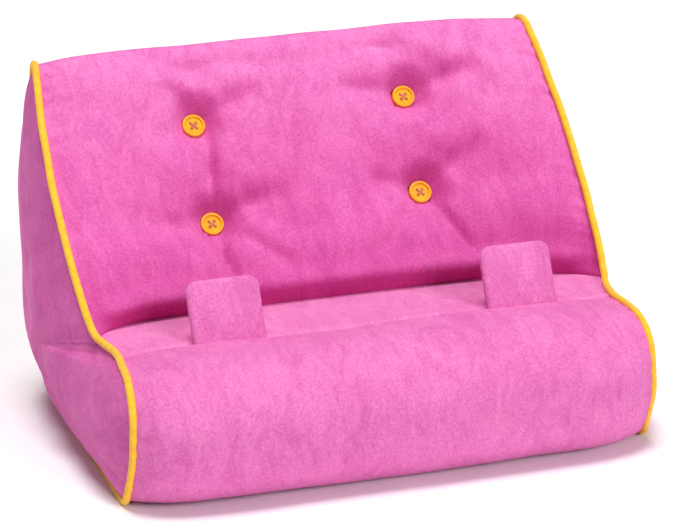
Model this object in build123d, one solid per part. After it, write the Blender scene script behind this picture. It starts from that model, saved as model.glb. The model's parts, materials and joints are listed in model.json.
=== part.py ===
from build123d import *
import os
from math import cos, radians, sin, sqrt, tan

# Stuffed tablet rest cushion: a bolster in front, a ledge, a reclined buttoned backrest and two
# stiffened tabs that hinge in the seam between bolster and ledge.
# Millimetres, +Z up, the front faces -Y. The origin is on the ground, under the middle of the cushion.

# ---- overall shape ----
SEAM_SPAN = 260.0  # between the two piped side seams
SIDE_DOME = 14.0  # how far each side panel swells past its seam
DEPTH = 204.0  # front of the bolster to the back panel
RIDGE_HEIGHT = 174.0
RIDGE_RADIUS = 14.0
RECLINE = 38.0  # degrees, backrest from upright
BOLSTER_HEIGHT = 70.0  # where the ledge's slope meets the front, before rounding
BOLSTER_LOW_RADIUS = 26.0
BOLSTER_TOP_RADIUS = 32.0
CREASE_HEIGHT = 64.0
CREASE_RADIUS = 8.0
HEEL_RADIUS = 25.0  # rear edge of the base
SIDE_LIFT_START = 12.0  # the base begins to rise this far inside each side seam
SIDE_LIFT = 4.0  # and is this far off the ground at the seam

# ---- layers, as depths below the outer surface ----
COVER = 1.2
LINER_OUTSIDE = 2.2
LINER_INSIDE = 2.7
FILL = 2.9

# ---- piping ----
PIPING_RADIUS = 1.85
PIPING_STAND_OFF = 2.0  # its centre line from the cover's outer surface
PIPING_TURN = 5.0  # its bend where it meets the base
PIPING_CORD_RADIUS = 1.0
PIPING_CORD_CLEARANCE = 0.05
PIPING_FLANGE = 0.6

# ---- seams, measured from the front of the bolster ----
BASE_SEAM_FRONT = BOLSTER_LOW_RADIUS + 4.0
LEDGE_SEAM = 54.5
BACK_SEAM = 194.0
BASE_SEAM_REAR = DEPTH - HEEL_RADIUS - 4.0
MID_HEIGHT = 33.0  # between the cover's lower and upper seams

# ---- buttons and tufting; places are across, and up the backrest from the crease ----
BUTTONS = {
    "upper_left": (-54.5, 101.5, 9.5),
    "upper_right": (57.0, 105.5, 9.5),
    "lower_left": (-55.0, 49.5, 11.0),
    "lower_right": (55.0, 54.0, 11.0),
}
BUTTON_RADIUS = 5.8
BUTTON_THICKNESS = 2.8
BUTTON_RIM = 1.2
BUTTON_DISH = 0.8
BUTTON_EDGE_FILLET = 0.55
HOLE_RADIUS = 0.75
HOLE_OFFSET = 1.35
DIMPLE_RADIUS = 7.0  # flat bottom of the dimple under each button
DIMPLE_SLOPE = 1.5  # how much wider the dimple gets for each millimetre up
DIMPLE_REACH = 8.0  # the dimple cutter runs this far out past the backrest
THREAD_RADIUS = 0.45
SHANK_RADIUS = 0.8
SHANK_CLEARANCE = 0.25
STAY_RADIUS = 5.0
STAY_THICKNESS = 2.0
WADDING = 20.0
WADDING_SPAN = (6.0, 124.0)  # from and to, up the backrest from the crease
WADDING_HALF_WIDTH = 124.0

# ---- tabs ----
FLAPS = {"left": -71.0, "right": 77.0}
FLAP_WIDTH = 36.0
FLAP_TOP = 27.5  # hinge line to top edge
FLAP_START = 1.6  # hinge line to bottom edge
FLAP_HALF_THICKNESS = 2.1
FLAP_SKIN = 1.2
FLAP_EDGE = 2.4  # sewn edge round the stiffener
FLAP_CORNER = 5.5
FLAP_FOOT_CHAMFER = 1.3
FLAP_LEAN = 26.0  # degrees back from upright
HINGE_LIFT = 2.0  # hinge line above the cover
STIFFENER_CLEARANCE = 0.1
HEM_DEPTH = 8.0
HEM_THICKNESS = 0.8
SEAM_SLOT = 0.2  # clearance round the hem

# ---- worked out ----
FRONT = -DEPTH / 2
REAR = DEPTH / 2
HALF_WIDTH = SEAM_SPAN / 2 + SIDE_DOME
END_FILLET = SIDE_DOME - 2.0
RIDGE_CORNER = RIDGE_HEIGHT - RIDGE_RADIUS + RIDGE_RADIUS / tan(radians(RECLINE / 2))
CREASE = (REAR - (RIDGE_CORNER - CREASE_HEIGHT) * tan(radians(RECLINE)), CREASE_HEIGHT)
LEDGE_FALL = (BOLSTER_HEIGHT - CREASE_HEIGHT) / (CREASE[0] - FRONT)
LEDGE_SEAM_HEIGHT = BOLSTER_HEIGHT - LEDGE_FALL * LEDGE_SEAM
BIG = 400.0

BACKREST = Plane(
    origin=(0, CREASE[0], CREASE[1]),
    x_dir=(1, 0, 0),
    z_dir=(0, -cos(radians(RECLINE)), sin(radians(RECLINE))),
)


def write(name, shape):
    shape.label = name
    export_step(shape, f"parts/{name}.step")


def corner(first, second, grow):
    """Where two walls of the outline meet when both are moved outward by a distance."""
    (point, way), (other, other_way) = first, second
    point += Vector(-way.Y, way.X) * grow
    other += Vector(-other_way.Y, other_way.X) * grow
    gap = other - point
    along = (gap.X * other_way.Y - gap.Y * other_way.X) / (way.X * other_way.Y - way.Y * other_way.X)
    return point + way * along


def outline(grow):
    """Side view of the cushion as a face, grown outward by a distance."""
    lean = radians(RECLINE)
    walls = [
        (Vector(REAR, 0), Vector(-1, 0)),
        (Vector(FRONT, 0), Vector(0, 1)),
        (Vector(FRONT, BOLSTER_HEIGHT), Vector(1, -LEDGE_FALL).normalized()),
        (Vector(*CREASE), Vector(sin(lean), cos(lean))),
        (Vector(REAR, 0), Vector(0, -1)),
    ]
    corners = [corner(wall, following, grow) for wall, following in zip(walls, walls[1:] + walls[:1])]
    radii = [
        BOLSTER_LOW_RADIUS + grow,
        BOLSTER_TOP_RADIUS + grow,
        CREASE_RADIUS - grow,
        RIDGE_RADIUS + grow,
        HEEL_RADIUS + grow,
    ]
    return Plane.YZ * make_face(FilletPolyline(*corners, radius=radii, close=True))


def lifted_outline(grow):
    """The outline at a side seam, where the base is off the ground, with the cut corners eased."""
    base = SIDE_LIFT - grow
    face = outline(grow) & Plane.YZ * Pos(0, base + BIG / 2) * Rectangle(BIG, BIG)
    turns = [vertex for vertex in face.vertices() if abs(vertex.Z - base) < 0.01]
    return fillet(turns, PIPING_TURN)


def side_lift(inset):
    """The two wedges under the side seams where the base curves up off the ground."""
    slope = SIDE_LIFT / SIDE_LIFT_START
    rise = inset * sqrt(1 + slope * slope)
    start = SEAM_SPAN / 2 - SIDE_LIFT_START
    reach = BIG / 2
    wedges = Part()
    for side in (-1, 1):
        points = [
            (side * (start - reach), rise - slope * reach),
            (side * (start + reach), rise + slope * reach),
            (side * (start + reach), -reach),
        ]
        wedges += extrude(Plane.XZ * make_face(Polyline(*points, close=True)), amount=BIG, both=True)
    return wedges


def dimples(inset):
    """The cones that the buttons draw into the backrest, grown into the stuffing by a distance."""
    bottom = DIMPLE_RADIUS + inset * (sqrt(1 + DIMPLE_SLOPE**2) - DIMPLE_SLOPE)
    cones = Part()
    for across, up, depth in BUTTONS.values():
        height = depth + inset + DIMPLE_REACH
        cone = Cone(
            bottom,
            bottom + DIMPLE_SLOPE * height,
            height,
            align=(Align.CENTER, Align.CENTER, Align.MIN),
        )
        cones += BACKREST * Pos(across, up, -depth - inset) * cone
    return cones


def bag(inset):
    """The whole closed cushion shape, with every wall moved inward by a distance."""
    half = HALF_WIDTH - inset
    body = extrude(outline(-inset), amount=half, both=True)
    ends = [edge for edge in body.edges() if abs(abs(edge.center().X) - half) < 0.01]
    body = fillet(ends, END_FILLET - inset)
    return body - side_lift(inset) - dimples(inset)


def band(start, end, low_z, high_z):
    """A block across the whole width, between two distances from the front and two heights."""
    centre = (0, FRONT + (start + end) / 2, (low_z + high_z) / 2)
    return Pos(*centre) * Box(2 * BIG, end - start, high_z - low_z)


def between(ring, lower, upper):
    """The stretches of the cover ring between two distances from the front, below and above."""
    for (start, end), (low_z, high_z) in zip((lower, upper), ((-BIG, MID_HEIGHT), (MID_HEIGHT, BIG))):
        ring -= band(-BIG, start, low_z, high_z)
        ring -= band(end, BIG, low_z, high_z)
    return ring


def cover_panels(ring):
    """The cover's five side-to-side panels, which meet at the seams."""
    crease = CREASE[0] - FRONT
    ahead = -DEPTH
    behind = 1.5 * DEPTH
    nothing = (ahead, ahead)
    spans = {
        "bolster_panel": ((ahead, BASE_SEAM_FRONT), (ahead, LEDGE_SEAM)),
        "ledge_panel": (nothing, (LEDGE_SEAM, crease)),
        "backrest_panel": (nothing, (crease, BACK_SEAM)),
        "back_panel": ((BASE_SEAM_REAR, behind), (BACK_SEAM, behind)),
        "base_panel": ((BASE_SEAM_FRONT, BASE_SEAM_REAR), nothing),
    }
    return {name: between(ring, lower, upper) for name, (lower, upper) in spans.items()}


def side_region(side, inner):
    """Everything past a distance to one side."""
    return Pos(side * (inner + BIG / 2), 0, BIG / 4) * Box(BIG, 2 * BIG, BIG)


def tube(side, radius):
    """Round bar round one side seam, clear of the cover and lifted off the ground."""
    line = lifted_outline(PIPING_STAND_OFF).face().outer_wire()
    path = Pos(side * SEAM_SPAN / 2, 0, 0) * line
    start = Plane(origin=path @ 0, z_dir=path % 0)
    return sweep(start * Circle(radius), path=path)


def piping(side):
    """The cord in one side seam, and the tape folded round it with its flange in the seam."""
    cord = tube(side, PIPING_CORD_RADIUS)
    rim = lifted_outline(PIPING_STAND_OFF - PIPING_CORD_RADIUS)
    inner = extrude(outline(-COVER), amount=BIG, both=True) - side_lift(COVER)
    flange = Pos(side * SEAM_SPAN / 2, 0, 0) * extrude(rim, amount=PIPING_FLANGE / 2, both=True) - inner
    hollow = tube(side, PIPING_CORD_RADIUS + PIPING_CORD_CLEARANCE)
    return cord, tube(side, PIPING_RADIUS) + flange - hollow


def at_button(name, depth):
    """Place on the backrest under one button, at a depth, facing outward."""
    across, up, _ = BUTTONS[name]
    return BACKREST * Pos(across, up, -depth)


def thread_holes():
    """The four places of a button's holes."""
    offsets = (-HOLE_OFFSET, HOLE_OFFSET)
    return [Pos(x, y, 0) for x in offsets for y in offsets]


def button():
    """Dished four-hole button with a raised rim, its back at zero, facing +Z."""
    base_up = (Align.CENTER, Align.CENTER, Align.MIN)
    disc = Cylinder(BUTTON_RADIUS, BUTTON_THICKNESS, align=base_up)
    disc = fillet(disc.edges().filter_by(GeomType.CIRCLE), BUTTON_EDGE_FILLET)
    floor = Pos(0, 0, BUTTON_THICKNESS - BUTTON_DISH)
    disc -= floor * Cylinder(BUTTON_RADIUS - BUTTON_RIM, BUTTON_THICKNESS, align=base_up)
    for place in thread_holes():
        disc -= place * Cylinder(HOLE_RADIUS, 3 * BUTTON_THICKNESS)
    return disc


def tuft_thread(depth):
    """Thread crossed over the button's face, down its four holes and on to the stay button."""
    base_up = (Align.CENTER, Align.CENTER, Align.MIN)
    face_height = BUTTON_THICKNESS - BUTTON_DISH
    span = 2 * HOLE_OFFSET * sqrt(2)
    bar_size = (span + 2 * THREAD_RADIUS, 2 * THREAD_RADIUS, THREAD_RADIUS)
    thread = Part()
    for turn in (45, -45):
        thread += Pos(0, 0, face_height) * Rot(0, 0, turn) * Box(*bar_size, align=base_up)
    for place in thread_holes():
        thread += place * Cylinder(THREAD_RADIUS, face_height + THREAD_RADIUS, align=base_up)
    shank_length = FILL + WADDING - depth
    gather = Cylinder(2 * HOLE_OFFSET, THREAD_RADIUS, align=(Align.CENTER, Align.CENTER, Align.MAX))
    shank = Cylinder(SHANK_RADIUS, shank_length, align=(Align.CENTER, Align.CENTER, Align.MAX))
    return thread + gather + shank


def tufting_cuts():
    """Clearance for the threads and the stay buttons, taken out of every soft layer."""
    down = (Align.CENTER, Align.CENTER, Align.MAX)
    cuts = Part()
    for name, (_, _, depth) in BUTTONS.items():
        reach = FILL + WADDING - depth
        cuts += at_button(name, depth) * Cylinder(SHANK_RADIUS + SHANK_CLEARANCE, reach, align=down)
        gather = Cylinder(2 * HOLE_OFFSET + SHANK_CLEARANCE, THREAD_RADIUS, align=down)
        cuts += at_button(name, depth) * gather
        pocket = Cylinder(STAY_RADIUS + SHANK_CLEARANCE, STAY_THICKNESS, align=down)
        cuts += at_button(name, FILL + WADDING) * pocket
    return cuts


def wadding_block():
    """Slab behind the backrest cover that the buttons are drawn into."""
    start, end = WADDING_SPAN
    slab = Box(2 * WADDING_HALF_WIDTH, end - start, 2 * (FILL + WADDING))
    return BACKREST * Pos(0, (start + end) / 2, 0) * slab


def flap_plate(start, top, half_width, corner, low, high):
    """Plate with two round top corners, standing on the hinge line, between two depths."""
    radii = [0, corner, corner, 0]
    points = [(-half_width, start), (-half_width, top), (half_width, top), (half_width, start)]
    line = FilletPolyline(*points, radius=radii, close=True)
    return Pos(0, 0, low) * extrude(make_face(line), amount=high - low)


def flap_cover(facing):
    """One face of a tab, hollowed for the stiffener; facing is 1 for front and -1 for back."""
    thickness = FLAP_HALF_THICKNESS
    low, high = sorted((0.0, facing * thickness))
    skin = flap_plate(FLAP_START, FLAP_TOP, FLAP_WIDTH / 2, FLAP_CORNER, low, high)
    foot = [
        edge
        for edge in skin.edges()
        if abs(edge.center().Y - FLAP_START) < 0.01 and abs(edge.center().Z - facing * thickness) < 0.01
    ]
    skin = chamfer(foot, FLAP_FOOT_CHAMFER)
    depth = facing * (thickness - FLAP_SKIN)
    low, high = sorted((0.0, depth))
    return skin - stiffener_outline(low, high, STIFFENER_CLEARANCE)


def stiffener_outline(low, high, grow):
    """Board inside a tab, between two depths, grown sideways by a clearance."""
    return flap_plate(
        FLAP_START + 2 * FLAP_EDGE - grow,
        FLAP_TOP - FLAP_EDGE + grow,
        FLAP_WIDTH / 2 - FLAP_EDGE + grow,
        FLAP_CORNER - FLAP_EDGE + grow,
        low,
        high,
    )


def hinge_place(across):
    """Hinge line of a tab, with the tab's length along local Y."""
    lean = radians(FLAP_LEAN)
    height = LEDGE_SEAM_HEIGHT + HINGE_LIFT
    origin = (across, FRONT + LEDGE_SEAM, height)
    return Plane(origin=origin, x_dir=(1, 0, 0), z_dir=(0, -cos(lean), sin(lean)))


def hem(across, grow):
    """Edge of a tab in the seam: a tongue through the cover and a strip turned under the ledge."""
    width = FLAP_WIDTH - 2 * FLAP_EDGE + 2 * grow
    thickness = HEM_THICKNESS + 2 * grow
    strip_top = LEDGE_SEAM_HEIGHT - COVER
    tongue = Box(width, thickness, COVER + HEM_THICKNESS + grow)
    tongue = Pos(0, 0, LEDGE_SEAM_HEIGHT - (COVER + HEM_THICKNESS + grow) / 2) * tongue
    strip = Box(width, HEM_DEPTH, thickness)
    drop = LEDGE_FALL * HEM_DEPTH
    strip = Pos(0, HEM_DEPTH / 2, strip_top - drop - HEM_THICKNESS / 2) * strip
    return Pos(across, FRONT + LEDGE_SEAM, 0) * (tongue + strip)


def build():
    os.makedirs("parts", exist_ok=True)
    seam_half = SEAM_SPAN / 2
    cuts = tufting_cuts()
    hem_cuts = Part()
    for across in FLAPS.values():
        hem_cuts += hem(across, SEAM_SLOT)

    cover = bag(0) - bag(COVER) - cuts
    ring = cover
    for side in (-1, 1):
        ring -= side_region(side, seam_half - PIPING_FLANGE / 2)
    for name, panel in cover_panels(ring).items():
        write(name, panel - hem_cuts)
    liner = bag(LINER_OUTSIDE) - bag(LINER_INSIDE) - cuts - hem_cuts
    write("liner_wrap", liner & Box(SEAM_SPAN, 2 * BIG, 2 * BIG))
    for side, label in ((-1, "left"), (1, "right")):
        write(f"side_panel_{label}", cover & side_region(side, seam_half + PIPING_FLANGE / 2))
        write(f"liner_side_{label}", liner & side_region(side, seam_half))
        cord, tape = piping(side)
        write(f"piping_cord_{label}", cord)
        write(f"piping_tape_{label}", tape)

    stuffing = bag(FILL) - cuts - hem_cuts
    write("backrest_wadding", stuffing & wadding_block())
    write("bead_filling", stuffing - wadding_block())

    for name, (_, _, depth) in BUTTONS.items():
        write(f"button_{name}", at_button(name, depth) * button())
        write(f"tuft_thread_{name}", at_button(name, depth) * tuft_thread(depth))
        stay = Cylinder(STAY_RADIUS, STAY_THICKNESS, align=(Align.CENTER, Align.CENTER, Align.MAX))
        write(f"stay_button_{name}", at_button(name, FILL + WADDING) * stay)

    board = FLAP_HALF_THICKNESS - FLAP_SKIN
    for label, across in FLAPS.items():
        place = hinge_place(across)
        write(f"flap_{label}_front_cover", place * flap_cover(1))
        write(f"flap_{label}_back_cover", place * flap_cover(-1))
        write(f"flap_{label}_stiffener", place * stiffener_outline(-board, board, 0))
        write(f"flap_{label}_hem", hem(across, 0))


build()
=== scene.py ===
import json
import math
from types import SimpleNamespace

import bpy
import numpy as np
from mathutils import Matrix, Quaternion, Vector


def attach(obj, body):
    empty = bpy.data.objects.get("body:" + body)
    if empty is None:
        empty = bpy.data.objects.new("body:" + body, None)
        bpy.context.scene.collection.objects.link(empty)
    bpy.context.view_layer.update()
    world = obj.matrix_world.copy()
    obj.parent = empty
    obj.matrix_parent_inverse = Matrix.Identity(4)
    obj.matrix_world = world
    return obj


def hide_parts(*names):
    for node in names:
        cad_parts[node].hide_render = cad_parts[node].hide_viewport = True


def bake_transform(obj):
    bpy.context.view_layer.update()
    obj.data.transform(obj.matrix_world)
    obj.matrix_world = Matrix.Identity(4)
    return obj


# Looks of the tablet rest cushion: a stuffed velour cushion with piped sides, a bolster, a ledge, a
# buttoned backrest and two stiffened tabs. Sizes are millimetres in the CAD frame unless said otherwise.
# The front is -y and the left -x.

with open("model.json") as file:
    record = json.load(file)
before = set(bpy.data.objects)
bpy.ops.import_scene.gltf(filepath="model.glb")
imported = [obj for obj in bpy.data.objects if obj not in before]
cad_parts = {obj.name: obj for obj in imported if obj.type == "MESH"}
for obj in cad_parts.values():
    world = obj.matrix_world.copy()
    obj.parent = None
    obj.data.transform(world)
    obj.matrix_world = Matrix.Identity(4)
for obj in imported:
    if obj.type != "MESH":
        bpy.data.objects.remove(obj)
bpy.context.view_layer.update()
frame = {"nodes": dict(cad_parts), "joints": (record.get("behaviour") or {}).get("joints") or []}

MM = 0.001
FINE = 2  # the shown surface has this many steps for each step of the simulated one

# ---- outlines seen from the side: (y, z, corner radius), from the rear of the base forwards ----
MIDDLE_LINE = [(102, 0, 25), (-102, 0, 26), (-102, 70, 32), (-4.8, 64, 3), (102, 199.4, 14)]
SEAM_LINE = [
    (102.5, 1.9, 42),
    (-75, 1.9, 8),
    (-87.8, 27.5, 22),
    (-87.4, 63.0, 21),
    (-24.9, 66.6, 20),
    (90, 180, 9),
    (102.5, 140, 35),
]
ARC_POINTS = 24
TRACE_STEP = 0.1  # outlines are searched in steps of this length
# where each panel of the cover starts on the two outlines, and how many steps it is cut into
PANELS = {
    "base": ((73, 0), (73, 1.9), 34),
    "bolster": ((-72, 0), (-70, 1.9), 38),
    "ledge": ((-47.5, 66.6), (-47.5, 66), 11),
    "backrest": ((-4.8, 64), (-27.5, 67.6), 39),
    "back": ((92, 174), (91, 172), 46),
}
# half the distance between the side seams where each panel starts, and half way along it
HALF_WIDTHS = {
    "base": (125.4, 129.4),
    "bolster": (131.3, 129.6),
    "ledge": (124.6, 125.6),
    "backrest": (130.6, 135.4),
    "back": (127.6, 128.6),
}
WIDTH_SMOOTHING = 60
COLUMNS = 66
EDGE_CROWDING = 0.25
SEAM_CROWDING = 0.5

# how the cover bulges from its side seams to its middle line
BULGE_SQUARENESS = 8
BULGE_POWER = 0.7
TOP_SQUARENESS = 10  # how much squarer it is along the top edge
TOP_POWER_DROP = 0.15
TOP_REACH = 30.0
SEAM_INSET = 1.0  # the panels' edges lie this far inside the piping's centre line

RECLINE = math.radians(38)
BACKREST_NORMAL = np.array([0, -math.cos(RECLINE), math.sin(RECLINE)])
BACKREST_UP = np.array([0, math.sin(RECLINE), math.cos(RECLINE)])
RIGHT = np.array([1.0, 0, 0])


# ---- lines and grids of points ----


def rounded(corners):
    """Points round a closed outline whose corners are arcs."""
    points = []
    for k, (y, z, radius) in enumerate(corners):
        at = np.array([y, z], float)
        into = at - np.array(corners[k - 1][:2])
        out = np.array(corners[(k + 1) % len(corners)][:2]) - at
        into /= np.linalg.norm(into)
        out /= np.linalg.norm(out)
        turn = math.atan2(into[0] * out[1] - into[1] * out[0], into @ out)
        start = at - into * radius * math.tan(abs(turn) / 2)
        centre = start + math.copysign(radius, turn) * np.array([-into[1], into[0]])
        for angle in np.linspace(0, turn, ARC_POINTS):
            c, s = math.cos(angle), math.sin(angle)
            points.append(centre + np.array([[c, -s], [s, c]]) @ (start - centre))
    return np.array(points)


def lengths(points):
    """Distance along a closed line to each point, and all the way round."""
    steps = np.linalg.norm(np.roll(points, -1, 0) - points, axis=1)
    return np.concatenate([[0], np.cumsum(steps)])


def at_length(points, distance):
    """The places at those distances along a closed line."""
    along = lengths(points)
    closed = np.vstack([points, points[:1]])
    return np.stack([np.interp(distance % along[-1], along, closed[:, k]) for k in (0, 1)], axis=1)


def stations(corners, marks):
    """One point of the outline for each row of the cover, and the distance along it."""
    points = rounded(corners)
    total = lengths(points)[-1]
    trace = at_length(points, np.arange(0, total, TRACE_STEP))
    starts = [TRACE_STEP * np.argmin(np.linalg.norm(trace - np.array(mark), axis=1)) for mark in marks]
    ends = starts[1:] + [total + starts[0]]
    distance = []
    for start, end, (_, _, steps) in zip(starts, ends, PANELS.values()):
        share = np.arange(steps * FINE) / (steps * FINE)
        share -= SEAM_CROWDING * np.sin(2 * np.pi * share) / (2 * np.pi)
        distance.append(start + (end - start) * share)
    distance = np.concatenate(distance)
    return at_length(points, distance), distance


def first_rows():
    """The first row of each panel, and the number of rows."""
    counts = [steps * FINE for _, _, steps in PANELS.values()]
    return dict(zip(PANELS, np.cumsum([0] + counts[:-1]))), sum(counts)


def smooth_ring(values, times):
    """Values round a ring, averaged with their neighbours that many times."""
    for _ in range(times):
        values = 0.25 * np.roll(values, 1, 0) + 0.5 * values + 0.25 * np.roll(values, -1, 0)
    return values


def hill(gap, width):
    """1 where the gap is 0, falling smoothly to about a third at the width."""
    return np.exp(-((gap / width) ** 2))


def waves(points, amount, seed, count=26):
    """Smooth random values; amount is their usual height, and the size of their lumps."""
    height, size = amount
    rng = np.random.default_rng(seed)
    ways = rng.normal(size=(count, points.shape[-1]))
    ways /= np.linalg.norm(ways, axis=1)[:, None]
    ways *= (2 * np.pi / (size * rng.uniform(1.2, 3.0, count)))[:, None]
    phases = rng.uniform(0, 2 * np.pi, count)
    return height * (np.cos(points @ ways.T + phases).sum(-1) * math.sqrt(2 / count))


def finer(values, ring):
    """Cubic steps between values along the first axis."""
    count = len(values) if ring else len(values) - 1
    at = np.arange(count * FINE + (0 if ring else 1)) / FINE
    low = np.minimum(at.astype(int), count - 1)
    f = (at - low).reshape(-1, *[1] * (values.ndim - 1))
    weights = [
        -0.5 * f + f**2 - 0.5 * f**3,
        1 - 2.5 * f**2 + 1.5 * f**3,
        0.5 * f + 2 * f**2 - 1.5 * f**3,
        -0.5 * f**2 + 0.5 * f**3,
    ]
    total = 0
    for k, weight in zip((-1, 0, 1, 2), weights):
        place = (low + k) % len(values) if ring else np.clip(low + k, 0, len(values) - 1)
        total = total + values[place] * weight
    return total


def finer_grid(values):
    """Cubic steps between values along both axes of a grid whose rows close into a ring."""
    return finer(finer(values, True).swapaxes(0, 1), False).swapaxes(0, 1)


def normals(grid, ring, towards):
    """Unit normals of a grid of points, on the side of towards."""
    if ring:
        along = np.roll(grid, -1, 0) - np.roll(grid, 1, 0)
    else:
        along = np.gradient(grid, axis=0)
    across = np.gradient(grid, axis=1)
    found = np.cross(across, along)
    found /= np.linalg.norm(found, axis=-1, keepdims=True) + 1e-12
    return found * np.sign((found * towards).sum())


def square_rings(count):
    """A square grid as rings: each point's ring as a share of the outermost, and its place round it."""
    x, y = np.meshgrid(np.arange(-count, count + 1), np.arange(-count, count + 1), indexing="ij")
    ring = np.maximum(np.abs(x), np.abs(y))
    side = np.maximum(ring, 1)
    place = np.select(
        [(x == ring) & (y < ring), (y == ring) & (x > -ring), (x == -ring) & (y > -ring)],
        [y + ring, 3 * ring - x, 5 * ring - y],
        7 * ring + x,
    )
    return ring / count, place / (8 * side) % 1.0


# ---- meshes ----


def quads(index, ring):
    """Faces of a grid of vertex numbers."""
    if ring:
        index = np.vstack([index, index[:1]])
    parts = (index[:-1, :-1], index[:-1, 1:], index[1:, 1:], index[1:, :-1])
    return np.stack([p.ravel() for p in parts], axis=1)


def face_areas(points, faces):
    """Each face's normal, as long as twice its area."""
    a, b, c, d = (points[faces[:, k]] for k in range(4))
    return np.cross(c - a, d - b)


def outward(points, faces):
    """The faces, turned so that they face away from the middle of the points."""
    middle = points[faces].mean(1) - points.mean(0)
    return faces if (face_areas(points, faces) * middle).sum() > 0 else faces[:, ::-1]


def right_way_out(points, faces):
    """The faces of a closed surface, turned so that its volume is positive."""
    volume = (face_areas(points, faces) * points[faces].mean(1)).sum()
    return faces if volume > 0 else faces[:, ::-1]


def shell(outer, inner, ring=False):
    """Points and faces of a closed shell between two grids of the same shape."""
    rows, columns = outer.shape[:2]
    index = np.arange(rows * columns).reshape(rows, columns)
    under = index + rows * columns
    faces = [quads(index, ring), quads(under, ring)[:, ::-1]]
    edges = [(index[:, -1], under[:, -1], ring), (index[::-1, 0], under[::-1, 0], ring)]
    if not ring:
        edges += [(index[0], under[0], False), (index[-1, ::-1], under[-1, ::-1], False)]
    for top, bottom, closed in edges:
        if closed:
            top, bottom = np.append(top, top[0]), np.append(bottom, bottom[0])
        faces.append(np.stack([top[1:], top[:-1], bottom[:-1], bottom[1:]], axis=1))
    points = np.vstack([outer.reshape(-1, 3), inner.reshape(-1, 3)])
    return points, right_way_out(points, np.vstack(faces))


def linked(name, data):
    """A new object in the scene."""
    made = bpy.data.objects.new(name, data)
    bpy.context.scene.collection.objects.link(made)
    return made


def mesh_object(name, points, faces):
    """A new mesh object, in metres from points in millimetres."""
    mesh = bpy.data.meshes.new(name)
    mesh.from_pydata((np.asarray(points) * MM).tolist(), [], np.asarray(faces).tolist())
    return linked(name, mesh)


def piece(name, shape, body, look, sharp=50):
    """A smooth mesh object from its points and faces, with its material and body."""
    made = mesh_object(name, *shape)
    mesh = made.data
    mesh.polygons.foreach_set("use_smooth", [True] * len(mesh.polygons))
    mesh.set_sharp_from_angle(angle=math.radians(sharp))
    mesh.materials.append(look)
    if body:
        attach(made, body)
    return made


def side_name(side):
    return "left" if side < 0 else "right"


# ---- the cover's side-to-side surface, before it is stuffed ----


def half_widths(starts, rows):
    """Half the distance between the side seams, for each row."""
    places, widths = [], []
    for name, (first, middle) in HALF_WIDTHS.items():
        places += [starts[name], starts[name] + PANELS[name][2] * FINE / 2]
        widths += [first, middle]
    ring = np.interp(np.arange(rows), places, widths, period=rows)
    return smooth_ring(ring, WIDTH_SMOOTHING * FINE)


def cover_surface():
    """The wrap of the cover before it is stuffed: rows round the outline, columns from left to right."""
    starts, rows = first_rows()
    middle, distance = stations(MIDDLE_LINE, [mark for mark, _, _ in PANELS.values()])
    side, _ = stations(SEAM_LINE, [mark for _, mark, _ in PANELS.values()])
    half = half_widths(starts, rows)
    way = np.roll(side, -1, 0) - np.roll(side, 1, 0)
    way /= np.linalg.norm(way, axis=1)[:, None]
    out = np.stack([way[:, 1] * -1, way[:, 0]], axis=1)
    even = np.linspace(-1, 1, COLUMNS * FINE + 1)
    across = even * (1 + EDGE_CROWDING - EDGE_CROWDING * even**2)
    top = hill(distance - distance[starts["back"]], TOP_REACH)[:, None]
    squareness = BULGE_SQUARENESS + TOP_SQUARENESS * top
    bulge = (1 - np.abs(across) ** squareness) ** (BULGE_POWER - TOP_POWER_DROP * top)
    edge = side - out * SEAM_INSET
    grid = np.zeros((rows, len(across), 3))
    grid[:, :, 0] = half[:, None] * across
    grid[:, :, 1:] = edge[:, None] * (1 - bulge)[..., None] + middle[:, None] * bulge[..., None]
    return SimpleNamespace(
        grid=grid,
        starts=starts,
        rows=rows,
        distance=distance,
        from_edge=half[:, None] * (1 - np.abs(across)),
        piping=np.column_stack([half, side]),
        out=out,
    )


LAST_STEP = 2.0  # about how far the last row of the cover is from the first


def seam_distance(cover, name):
    """How far each row is from the seam where a panel starts, along the outline."""
    distance = cover.distance
    total = distance[-1] - distance[0] + LAST_STEP
    gap = np.abs(distance - distance[cover.starts[name]])
    return np.minimum(gap, np.abs(total - gap))


def above_crease(cover):
    """How far each row is past the crease, along the outline."""
    return cover.distance - cover.distance[cover.starts["backrest"]]


# ---- the buttons' seats ----

BUTTON_REACH = 6.3  # the cover is flat this far round a button's middle
SEWN_REACH = BUTTON_REACH - 1  # and held by the thread this far


def button_seats():
    """The middle of each button's back, and its name, from the CAD nodes."""
    seats = {}
    for name in frame["nodes"]:
        if name.startswith("button_"):
            co = np.array([v.co for v in frame["nodes"][name].data.vertices]) / MM
            height = co @ BACKREST_NORMAL
            middle = (co.max(0) + co.min(0)) / 2
            seats[name] = middle + BACKREST_NORMAL * (height.min() - middle @ BACKREST_NORMAL)
    return seats


def from_button(grid, seat):
    """Distance of each point from a button's axis, and its height over the button's back."""
    gap = grid - seat
    height = gap @ BACKREST_NORMAL
    return np.linalg.norm(gap - height[..., None] * BACKREST_NORMAL, axis=-1), height


def nearest_button(grid, seats):
    """Distance of each point from the nearest button's axis."""
    return np.min([from_button(grid, seat)[0] for seat in seats.values()], axis=0)


# ---- stuffing: the cover under pressure, with its seams and button seats held ----

PUFF = 6.5  # how far the backrest stands out between the buttons before the simulation
PUFF_EDGE = 50.0
PUFF_SMOOTHING = 12
DIMPLE = 22.0  # how far the hollow round a button reaches
DIMPLE_SHARE = 0.95

PRESSURE = 60.0
SLACK = 0.015  # share by which the cloth is larger than the surface it starts on
DRAWN_BY = 12  # frame at which the thread and the crease are fully drawn in
SETTLED_BY = 24

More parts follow.
